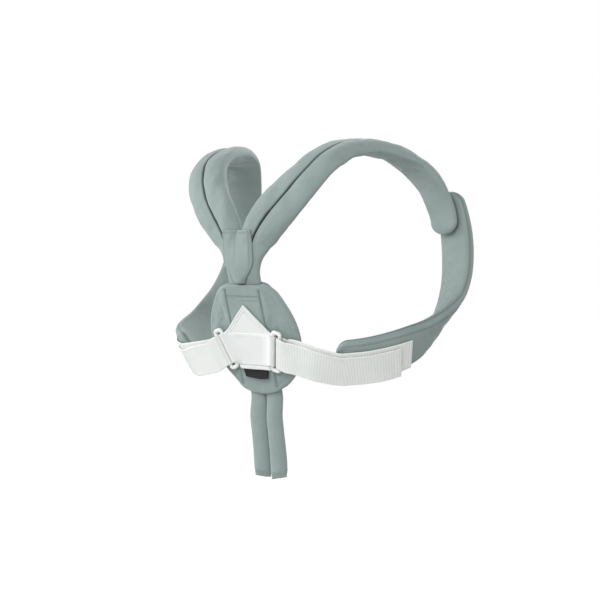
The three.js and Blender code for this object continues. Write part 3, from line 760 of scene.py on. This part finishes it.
def back_pad():
    turns = 240
    angle = np.linspace(0, 2 * math.pi, turns, endpoint=False)
    reach = pad_reach(angle)
    face = lambda r: pad_face(r * np.sin(angle), PAD_MIDDLE - r * np.cos(angle), r / reach)
    back = lambda r: pad_back(r * np.sin(angle), r / reach)
    beside = ease(np.abs(reach * np.sin(angle)), TUNNEL_HALF, TUNNEL_HALF + 14)
    front_round, back_round = mix(1.5, 4.2, beside), mix(1.2, 2.6, beside)
    rows = [(reach * share, face(reach * share)) for share in np.linspace(0.02, 0.93, 44)]
    for turn in np.radians(np.linspace(12, 90, 9)):
        edge = reach - front_round * (1 - np.sin(turn))
        rows.append((edge, face(edge) - front_round * (1 - np.cos(turn))))
    for turn in np.radians(np.linspace(0, 80, 6)):
        edge = reach - back_round * (1 - np.cos(turn))
        rows.append((edge, back(edge) + back_round * (1 - np.sin(turn))))
    rows += [(reach * share, back(reach * share)) for share in np.linspace(0.93, 0.02, 22)]
    loops = np.array([on_pad(r * np.sin(angle), PAD_MIDDLE - r * np.cos(angle), w) for r, w in rows])
    body = loft("back_pad_cloth", loops, np.arange(len(loops)))
    low, high, half = TUNNEL_LOW, TUNNEL_HIGH, TUNNEL_HALF
    hole = prism("hole", [(-half, low + 2), (-half + 2, low), (half - 2, low), (half, low + 2),
                          (half, high - 3), (half - 3, high), (-half + 3, high), (-half, high - 3)],
                 -20, 160)
    apply(body, "BOOLEAN", operation="DIFFERENCE", object=hole, solver="EXACT")
    bpy.data.objects.remove(hole)
    apply(body, "REMESH", mode="VOXEL", voxel_size=PAD_VOXEL, use_smooth_shade=True)
    apply(body, "SMOOTH", factor=0.5, iterations=7)
    co, n = vertices(body), normals(body)
    u, v, w = off_pad(co)
    out = n @ PAD_OUT
    angle = np.arctan2(u, PAD_MIDDLE - v)
    far = np.hypot(u, PAD_MIDDLE - v)
    edge = pad_reach(angle)
    share = np.clip(far / edge, 0, 1)
    front = ease(out, 0.05, 0.4) * ease(w - pad_face(u, v, share), -3.2, -2.0)
    seam = mound(np.abs(u), SEAM, 1.5) * ease(v, 2, 7) * (1 - ease(v, 121, 126))
    hem = mound(v, PAD_HEM, 1.0) * (1 - ease(np.abs(u), SEAM - 1, SEAM))
    hem2 = mound(v, PAD_HEM_2, 0.9) * ease(u, -2, 1) * (1 - ease(u, SEAM - 1, SEAM))
    inside = edge - far
    rim = mound(inside, 6, 1.1) * ease(np.abs(u), 20, 26)
    puff = ease(np.abs(u), SEAM, SEAM + 7) * ease(inside, 3, 12)
    soft = ripple(71, u, v, (22, 60)) * 0.4 + ripple(72, u, v, (9, 18)) * 0.1
    middle = mound(u, 0, 5) * (1 - ease(np.abs(u), SEAM - 3, SEAM)) * 0.6
    sink = seam * 1.9 + hem * 0.8 + hem2 * 0.6 + rim * 0.3 + middle
    rise = front * (puff * 0.5 * (0.4 + soft) - sink - 0.12)
    upright = 1 - ease(np.abs(out), 0.35, 0.7)
    line = mound(w, 6.4, 0.8) * upright * ease(np.abs(u), TUNNEL_HALF + 1, TUNNEL_HALF + 4)
    move_vertices(body, co + PAD_OUT * rise[:, None] + n * (-line * 0.9)[:, None])
    # Painted shade in the sewn channels, the hem lines, the rim stitch and the seam line round the side
    dark = front * (seam * 0.4 + hem * 0.3 + hem2 * 0.25 + rim * 0.08) + line * 0.5
    set_fold(body.data, np.clip(dark, 0, 1))
    lobes = ease(np.abs(u), SEAM + 2, SEAM + 9) * ease(inside, 5, 13)
    settle(body, front * lobes, cap=1.1, slack=0.015)
    lay_cloth(body, u, v)
    return body


pad = back_pad()


def pad_line(colour, tree, us, vs, **stitch):
    sew_rays(colour, tree, [on_pad(u, v, PAD_ABOVE) for u, v in zip(us, vs)], -PAD_OUT, **stitch)


# The pad's stitches: two channels, each closed by a small sewn box, and two hem lines
pad_tree = tree_of(pad)
BOX = np.array([(-3, 114), (3.4, 114), (3.4, 120), (-3, 120), (-3, 114)], float)
box_far = distances(BOX)
box_u, box_v = between(np.linspace(0, box_far[-1], 40), box_far, BOX).T
for sign in (-1, 1):
    pad_line("green", pad_tree, np.full(60, sign * SEAM), np.linspace(4 if sign > 0 else 13, 123, 60))
    pad_line("green", pad_tree, sign * (SEAM + box_u), box_v, long=1.9, gap=0.7)
pad_line("green", pad_tree, np.linspace(-SEAM, SEAM, 40), np.full(40, PAD_HEM))
pad_line("green", pad_tree, np.linspace(0, SEAM, 24), np.full(24, PAD_HEM_2))


# Cross patch: a sewn cover laid over both straps where they meet, found by rays from behind
BEHIND = -300


def cross_patch():
    rows, columns = 70, 61
    table = np.array(PATCH_ROWS[::-1], float)
    z = np.linspace(table[-1, 0], table[0, 0], rows)
    half = np.interp(z, table[:, 0], table[:, 1])
    outs = np.interp(z, table[:, 0], table[:, 2])
    for _ in range(6):
        for k in (half, outs):
            k[1:-1] = (k[:-2] + 2 * k[1:-1] + k[2:]) / 4
    share = np.linspace(-1, 1, columns)
    x = half[:, None] * share[None]
    zz = np.repeat(z[:, None], columns, axis=1)
    sewn = outs[:, None] + 1.6 - 0.5 * np.maximum(0, 1 - np.abs(x) / 11) ** 2 - 6 * np.abs(share[None]) ** 4
    under = np.zeros_like(x)
    for i in range(rows):
        for j in range(columns):
            best = 0
            for dx, dz in ((0, 0), (-2.5, 0), (2.5, 0), (0, -2.5), (0, 2.5)):
                found = hit(straps, (x[i, j] + dx, BEHIND, zz[i, j] + dz), (0, 1, 0))
                best = max(best, -found[0][1] if found else 0)
            under[i, j] = best
    base = np.maximum(sewn, under + GAP)
    for _ in range(70):
        base[1:-1, 1:-1] = (base[:-2, 1:-1] + base[2:, 1:-1] + base[1:-1, :-2] + base[1:-1, 2:]) / 4
        base = np.maximum(base, under + GAP * 0.7)
    edge_x = half[:, None] - np.abs(x)
    top, bottom = z[0] - zz, zz - z[-1]
    inside = np.minimum(edge_x, np.minimum(top, bottom))
    thick = mix(1.2, 2.5, ease(inside, 0, 2.2))
    groove = mound(edge_x, PATCH_SIDE, 0.8) * (zz > -128) + mound(top, PATCH_TOP, 0.8)
    centre = mound(x, PATCH_SEAM, 0.9) * ease(zz, -118, -112)
    soft = ripple(83, x * 1.6, zz, (14, 34)) * 0.18 * ease(inside, 2, 7)
    face = base + thick + soft - 0.5 * np.minimum(groove, 1) - 0.3 * centre
    face = np.maximum(face, base + 0.8)
    upper = np.stack([x, -face, zz], axis=-1)
    lower = np.stack([x, -base, zz], axis=-1)
    loops = np.concatenate([upper, lower[:, ::-1]], axis=1)
    # Painted shade along the edge stitches and the middle seam
    dark = np.clip(np.minimum(groove, 1) * 0.25 + centre * 0.2, 0, 1)
    fold = np.concatenate([dark, np.zeros_like(dark)], axis=1)
    obj = loft("cross_patch_cloth", loops, z[0] - z, fold)
    tree = tree_of(obj)
    line = lambda xs, zs: sew_rays("green", tree, [(px, BEHIND, pz) for px, pz in zip(xs, zs)], (0, 1, 0))
    start = z[0] - PATCH_TOP
    line(np.linspace(-19, 19, 40), np.full(40, start))
    line(np.full(30, PATCH_SEAM), np.linspace(start, -116, 30))
    edges = ((PATCH_SIDE, np.linspace(start, -127, 40)), (PATCH_FOOT, np.linspace(-129, -146, 30)))
    for sign in (-1, 1):
        for inset, zs in edges:
            line(sign * (np.interp(zs, z[::-1], half[::-1]) - inset), zs)
    return obj


patch = cross_patch()

# Rings: round bars moulded as rounded rectangles, thicker towards the hole at both ends
RING_CENTRE = on_pad(RING_U, RING_V, RING_W)


def ring_ways(side):
    """Along the ring's bars and across them, on the right side of the part; the left is mirrored later."""
    slant = RING_SLANT[side]
    along = on_pad(-math.sin(slant), math.cos(slant), 0) - on_pad(0, 0, 0)
    return along, on_pad(math.cos(slant), math.sin(slant), 0) - on_pad(0, 0, 0)


def on_ring(side, aside, along, out):
    long_way, cross_way = ring_ways(side)
    aside, along, out = np.broadcast_arrays(*(np.asarray(k, float)[..., None] for k in (aside, along, out)))
    return RING_CENTRE + cross_way * aside + long_way * along + PAD_OUT * out


def ring(name, side):
    a, b = RING_APART / 2, RING_ALONG / 2 + RING_BAR
    swell = RING_CORNER / RING_BAR - 1.06
    round_bar = np.linspace(0, 2 * math.pi, 28, endpoint=False)
    loops = []
    for x, y, turn in ((a, b, 0), (-a, b, 90), (-a, -b, 180), (a, -b, 270)):
        middle = (x - math.copysign(RING_CORNER, x), y - math.copysign(RING_CORNER, y))
        for step in np.linspace(0, 90, 13):
            angle = math.radians(turn + step)
            fuller = np.where(np.cos(round_bar) < 0, 1 + swell * ease(abs(math.sin(angle)), 0.12, 0.55), 1)
            far = RING_CORNER + RING_BAR * fuller * np.cos(round_bar)
            aside, along = middle[0] + far * math.cos(angle), middle[1] + far * math.sin(angle)
            loops.append(on_ring(side, aside, along, RING_BAR * np.sin(round_bar)))
    loops = np.array(loops)
    rows, n, _ = loops.shape
    index = np.arange(rows * n).reshape(rows, n)
    quads = tube_quads(np.vstack([index, index[:1]]))
    return make(name, loops.reshape(-1, 3), quads, np.zeros((len(quads), 4, 2)), None, side)


ring_right = ring("ring_right_moulded", 1)
ring_left = ring("ring_left_moulded", -1)


# Ring tab: a five-sided doubled cloth, rolled round the inner bar of each ring
TAB_VOXEL, SLEEVE_SKIN, SLEEVE_LONG = 0.0006, 1.3, 38


def solid_between(name, outline, near, far):
    points = np.array([on_pad(u, v, w) for w in (near, far) for u, v in outline])
    n = len(outline)
    mesh = bpy.data.meshes.new(name)
    faces = [list(range(n))[::-1], list(range(n, 2 * n))]
    faces += [[i, (i + 1) % n, n + (i + 1) % n, n + i] for i in range(n)]
    mesh.from_pydata((points * MM).tolist(), [], faces)
    return put(name, mesh)


def bar_on_ring(name, outline, long, side):
    """A bar along the ring with one outline of (aside, out)."""
    outline = np.array(outline, float)
    loops = np.array([on_ring(side, outline[:, 0], s * long / 2, outline[:, 1]) for s in (-1, 1)])
    return loft(name, loops, [0, long], None, side)


def ring_tab():
    outline = TAB_HALF + [(-u, v) for u, v in TAB_HALF[:0:-1]]
    plate = solid_between("ring_tab_cloth", outline, TAB_NEAR, TAB_FAR)
    bore = RING_BAR + GAP + 0.1
    outer = bore + SLEEVE_SKIN
    inner, foot, top = -RING_APART / 2, TAB_FAR - RING_W, outer * 0.97
    turn = np.linspace(0, 2 * math.pi, 32, endpoint=False)
    circle = lambda r: np.stack([inner + r * np.cos(turn), r * np.sin(turn)], axis=1)
    ramp = [(inner - 3.4, top * 0.78), (inner - 6, top * 0.46), (inner - 9, top * 0.18), (inner - 15, foot)]
    low = foot - 0.9
    wedge = [(inner - 15, low), (inner, low), (inner, top), (inner - 1.6, top * 0.95)] + ramp
    slope = np.array([(inner - 15, low), (inner - 3.4, low)] + ramp, float)
    level = np.stack([slope[:, 0], np.minimum(slope[:, 1], foot + 0.01)], axis=1)
    parts = []
    for side in (1, -1):
        ends = [on_ring(side, row[:, 0], at, row[:, 1])
                for row, at in ((slope, 16.3), (slope, 18.4), (level, 25))]
        parts += [("UNION", bar_on_ring("sleeve", circle(outer), SLEEVE_LONG, side)),
                  ("UNION", bar_on_ring("wedge", wedge, SLEEVE_LONG - 0.6, side)),
                  ("UNION", loft("slope", np.array(ends), [0, 2, 8], None, side))]
    parts += [("DIFFERENCE", bar_on_ring("hole", circle(bore), 80, side)) for side in (1, -1)]
    for operation, part in parts:
        apply(plate, "BOOLEAN", operation=operation, object=part, solver="EXACT")
        bpy.data.objects.remove(part)
    apply(plate, "REMESH", mode="VOXEL", voxel_size=TAB_VOXEL, use_smooth_shade=True)
    apply(plate, "SMOOTH", factor=0.5, iterations=6)
    co, n = vertices(plate), normals(plate)
    u, v, w = off_pad(co)
    out = n @ PAD_OUT
    front = ease(out, 0.2, 0.6) * ease(w, TAB_FAR - 1.3, TAB_FAR - 0.6)
    roof = np.abs(u) * (TAB_EAVE_V - TAB_PEAK) / TAB_EAVE_U + TAB_PEAK
    inside = (v - roof) * TAB_EAVE_U / math.hypot(TAB_EAVE_U, TAB_EAVE_V - TAB_PEAK)
    lines = np.maximum(mound(inside, TAB_STITCH, 0.7), mound(inside, TAB_STITCH_2, 0.7)) * (v < 57)
    step = ease(v, 56.6, 57.6)
    hem = mound(v, TAB_HEM, 0.7)
    band = ease(v, TAB_HEM, TAB_HEM + 1) * 0.35
    soft = ripple(91, u, v, (16, 40)) * 0.18
    rise = 0.5 * step + band + soft - 0.5 * lines - 0.6 * hem
    move_vertices(plate, co + PAD_OUT * (front * rise)[:, None])
    # Painted shade along the stitch rows and the hem
    set_fold(plate.data, np.clip(front * (lines * 0.3 + hem * 0.35), 0, 1))
    lay_cloth(plate, u, v)
    return plate


tab = ring_tab()
tab_tree = tree_of(tab)
# The tab's stitches: two rows along each slope of its peak, one below it and two on its hem
ROOF_LEAN = 1.39
roof_run = np.linspace(0.06, 0.97, 40)
for sign in (-1, 1):
    for inset in (TAB_STITCH, TAB_STITCH_2):
        vs = TAB_PEAK + (TAB_EAVE_V - TAB_PEAK) * roof_run + inset * ROOF_LEAN
        keep = vs < 56
        pad_line("white", tab_tree, (sign * TAB_EAVE_U * roof_run)[keep], vs[keep], **FINE_STITCH)
for half_long, v, count in ((29, 59.5, 50), (25.5, TAB_HEM - 2, 46), (25.5, TAB_HEM + 3, 46)):
    us = np.linspace(-half_long, half_long, count)
    pad_line("white", tab_tree, us, np.full(count, v), **FINE_STITCH)


# Webbing: along the underarm pad, to the ring, round its outer bar and back over itself
WEB_STEP, WEB_RIB = 0.55, 3.3


def web_strap(name, side, droop, raised, stagger):
    """The folded end lies lower than the sewn run by stagger near the ring, and droops further on."""
    middle = GAP + 0.15 + WEB_THICK / 2
    rows = []
    for back in (WEB_REACH, 72, 52, 34, 18, 6):
        f = UNDERARM.at(UNDERARM.long - back)
        across = f.across[0] * (np.sign(f.across[0][2]) * -WEB_LOWER)
        rows.append((*(f.point[0] + f.out[0] * middle + across), *f.out[0]))
    turn = RING_BAR + middle
    ring_long, ring_aside = ring_ways(side)
    arrive = on_ring(side, RING_APART / 2, 0, -turn)
    near = [on_ring(side, RING_APART / 2 + 9, 0, -turn + 1.2), arrive]
    free = [(x, y, z + raised * share, *face)
            for (x, y, z, *face), share in zip(WEB_ROWS, (0.7, 1.2, 1.3))]
    route = Route(rows + free + [(*point, *PAD_OUT) for point in near])

    def frames(d):
        f = route.at(d)
        away = np.linalg.norm(f.point - arrive, axis=1)
        across = f.across * np.sign(f.across[:, 2:])
        across = unit(mix(across, -ring_long[None], (1 - ease(away, 3, 30))[:, None]))
        return f.point, f.out, across, away

    inner_d = np.linspace(0, route.long, int(route.long / WEB_STEP))
    p1, o1, a1, _ = frames(inner_d)
    angle = np.radians(np.linspace(8, 172, 24))[:, None]
    p2 = on_ring(side, RING_APART / 2 - turn * np.sin(angle[:, 0]), 0, -turn * np.cos(angle[:, 0]))
    o2 = PAD_OUT * np.cos(angle) + ring_aside * np.sin(angle)
    a2 = np.repeat(-ring_long[None], len(angle), axis=0)
    back_long = route.long - WEB_REACH + WEB_FOLD
    outer_d = route.long - np.linspace(0, back_long, int(back_long / WEB_STEP))
    p3, o3, a3, away = frames(outer_d)
    lift = mix(2 * turn, WEB_THICK + 0.7, ease(away, 0, 34))
    drop = stagger * ease(away, 2, 26) + droop * ease(away, 20, 110)
    p3 = p3 + o3 * lift[:, None] - a3 * drop[:, None]
    point, out, across = np.vstack([p1, p2, p3]), np.vstack([o1, o2, -o3]), np.vstack([a1, a2, a3])
    far = distances(point)
    half = WEB_WIDE / 2
    selvedge = np.linspace(0.94, 1, 5)
    b = half * np.concatenate([-selvedge[::-1], np.linspace(-0.88, 0.88, 13), selvedge])
    edge = np.clip((half - np.abs(b)) / 1.1, 0, 1)
    body = np.sqrt(np.clip(1 - (1 - edge) ** 2, 0.02, 1))
    rib = 0.5 + 0.5 * np.cos(2 * math.pi * far / WEB_RIB)
    ends = np.minimum(far, far[-1] - far)
    end = np.sqrt(np.clip(1 - (1 - np.clip(ends / 0.9, 0, 1)) ** 2, 0.05, 1))
    field = ease(half - np.abs(b), 1.4, 2.4)
    thick = (WEB_THICK / 2 * body[None] - 0.2 * (1 - rib)[:, None] * field[None]) * end[:, None]
    flat, raise_by = point[:, None] + across[:, None] * b[None, :, None], out[:, None] * thick[..., None]
    loops = np.concatenate([flat + raise_by, (flat - raise_by)[:, ::-1]], axis=1)
    # Painted shade in the valleys between the ribs
    dark = (1 - rib)[:, None] ** 2 * field[None] * 0.2
    line = np.linspace(-half + 2.5, half - 2.5, 40)[:, None]
    for at, face in ((4, 1), (8, 1), (far[-1] - 4, -1), (far[-1] - 8, -1)):
        i = int(np.argmin(np.abs(far - at)))
        path = point[i] + across[i] * line + out[i] * face * WEB_THICK / 2
        sew("white", path * mirror(side), out[i] * face * mirror(side), **FINE_STITCH)
    return loft(name, loops, far, np.concatenate([dark, dark[:, ::-1]], axis=1), side), far[-1]


web_right, web_long = web_strap("web_strap_right_cloth", 1, droop=0, raised=3.4, stagger=4.5)
web_left, _ = web_strap("web_strap_left_cloth", -1, droop=6, raised=-1, stagger=3.5)


# Label: a bare folded tab below the ring tab, its lower edge curling outwards
LABEL_HALF, LABEL_LONG, LABEL_TOP, LABEL_OUT = 19, 10, 101.85, 18.4


def label_tab():
    share = np.linspace(0, 1, 30)
    aa, ss = np.meshgrid(np.linspace(-1, 1, 60), share)
    left, right = -LABEL_HALF + 4.2 * ss**1.5, LABEL_HALF + 1.6 * ss
    u = mix(left, right, (aa + 1) / 2)
    down = LABEL_LONG * ss
    v = LABEL_TOP + down * (1 - aa**4 * 0.12) + 0.35 * np.sin(aa * 2.2) * ss
    edge = np.minimum(np.minimum(LABEL_HALF * (1 - np.abs(aa)), LABEL_LONG * (1 - ss)), down + 1)
    body = 0.9 * np.sqrt(np.clip(1 - (1 - np.clip(edge / 0.8, 0, 1)) ** 2, 0.04, 1))
    seam = mound(down, 1.6, 0.45) + mound(LABEL_LONG * (1 - ss), 1.2, 0.4)
    w = LABEL_OUT + 3.4 * ss**2 + 0.5 * np.sin(aa * 2.6 + 0.8) * ss
    upper, lower = on_pad(u, v, w + body - 0.22 * seam * (edge > 0.6)), on_pad(u, v, w - body)
    loops = np.concatenate([upper, lower[:, ::-1]], axis=1)
    return loft("label_tab_cloth", loops, LABEL_LONG * share)


label = label_tab()

# Finish each piece
dress(pad, GREEN, ["back_pad"])
dress(strap_right, GREEN, ["shoulder_strap_right"])
dress(strap_left, GREEN, ["shoulder_strap_left"])
dress(underarm_right, GREEN, ["underarm_pad_right"])
dress(underarm_left, GREEN, ["underarm_pad_left"])
dress(patch, GREEN, ["cross_patch"])
dress(tab, WHITE, ["ring_tab"])
dress(web_right, WEBBING, ["web_strap_right"])
dress(web_left, WEBBING, ["web_strap_left"])
dress(ring_right, PLASTIC, ["ring_right"])
dress(ring_left, PLASTIC, ["ring_left"])
dress(label, BLACK, ["label_tab"])
THREAD = {"pitch": 0.0006, "sheen": 0.1, "bump": 0.2, "fuzz": 2000.0, "depth": 0.0002}
GREEN_THREAD = cloth_material("sage_thread", (150, 168, 160), (138, 156, 149), (80, 92, 88),
                              roughness=0.75, **THREAD)
WHITE_THREAD = cloth_material("white_thread", (240, 242, 240), (232, 235, 233), (180, 184, 182),
                              roughness=0.7, **THREAD)
threads("green", "stitching_green", GREEN_THREAD)
threads("white", "stitching_white", WHITE_THREAD)

# Floor, light and camera
FLOOR, FLOOR_HALF = -1.45, 40
floor_mesh = bpy.data.meshes.new("floor")
corners = [(x * FLOOR_HALF, y * FLOOR_HALF, FLOOR) for x, y in ((-1, -1), (1, -1), (1, 1), (-1, 1))]
floor_mesh.from_pydata(corners, [], [(0, 1, 2, 3)])
floor = put("floor", floor_mesh)
floor_material, ground, floor_shader = nodes_of("pale_floor", 0.9, specular=0.1)
where = add(ground, "ShaderNodeTexCoord").outputs["Object"]
away = add(ground, "ShaderNodeVectorMath", {0: where}, operation="LENGTH")
# The floor is painted darker within a few metres of the part, a painted shadow under it, and glows further
# out so that it turns white towards the horizon
outside_painted_shadow = span(ground, away.outputs["Value"], 2.0, 4.4)
floor_tone_with_painted_shadow = blend_colours(ground, outside_painted_shadow, rgb(178, 180, 180), rgb(246, 246, 246))
floor_painted_glow = span(ground, outside_painted_shadow, 0.0, 1.0, 0.02, 0.74)
feed(ground, floor_shader, {"Base Color": floor_tone_with_painted_shadow, "Emission Color": (1, 1, 1, 1),
                            "Emission Strength": floor_painted_glow})
floor_mesh.materials.append(floor_material)

world = bpy.data.worlds.new("studio")
world.use_nodes = True
sky = world.node_tree
direction = add(sky, "ShaderNodeTexCoord").outputs["Generated"]
height = add(sky, "ShaderNodeSeparateXYZ", {0: direction}).outputs["Z"]
level = maths(sky, "ABSOLUTE", height)
band = add(sky, "ShaderNodeMapRange", {0: level, 1: 0.2, 2: 0.3, 3: 1.0, 4: 0.0},
           interpolation_type="SMOOTHSTEP").outputs[0]
dome = maths(sky, "MULTIPLY", 0.24, maths(sky, "SUBTRACT", 1.0, band))
feed(sky, sky.nodes["Background"], {"Color": (1, 1, 1, 1), "Strength": maths(sky, "ADD", dome, band)})
scene.world = world
scene.view_settings.view_transform = "Standard"

camera_data = bpy.data.cameras.new("camera")
camera = put("camera", camera_data)
camera.location = (1.02898, -1.21477, -0.11101)
camera.rotation_euler = (math.radians(87.8), 0, math.radians(40))
camera_data.sensor_width = 36
camera_data.lens = 78.54
scene.camera = camera
LIGHT_TARGET = Vector((0, 0, -0.15))


def area_light(name, at, size, power):
    data = bpy.data.lights.new(name, "AREA")
    data.size = size
    data.energy = power
    light = put(name, data)
    light.location = at
    light.rotation_euler = (LIGHT_TARGET - Vector(at)).to_track_quat("-Z", "Y").to_euler()


area_light("key", (-2.5, -1.1, 0.9), size=1.4, power=72)
area_light("fill", (1.1, -2.3, 1.2), size=1.4, power=50)
area_light("front", (0.2, 2.6, 1.5), size=1.6, power=90)
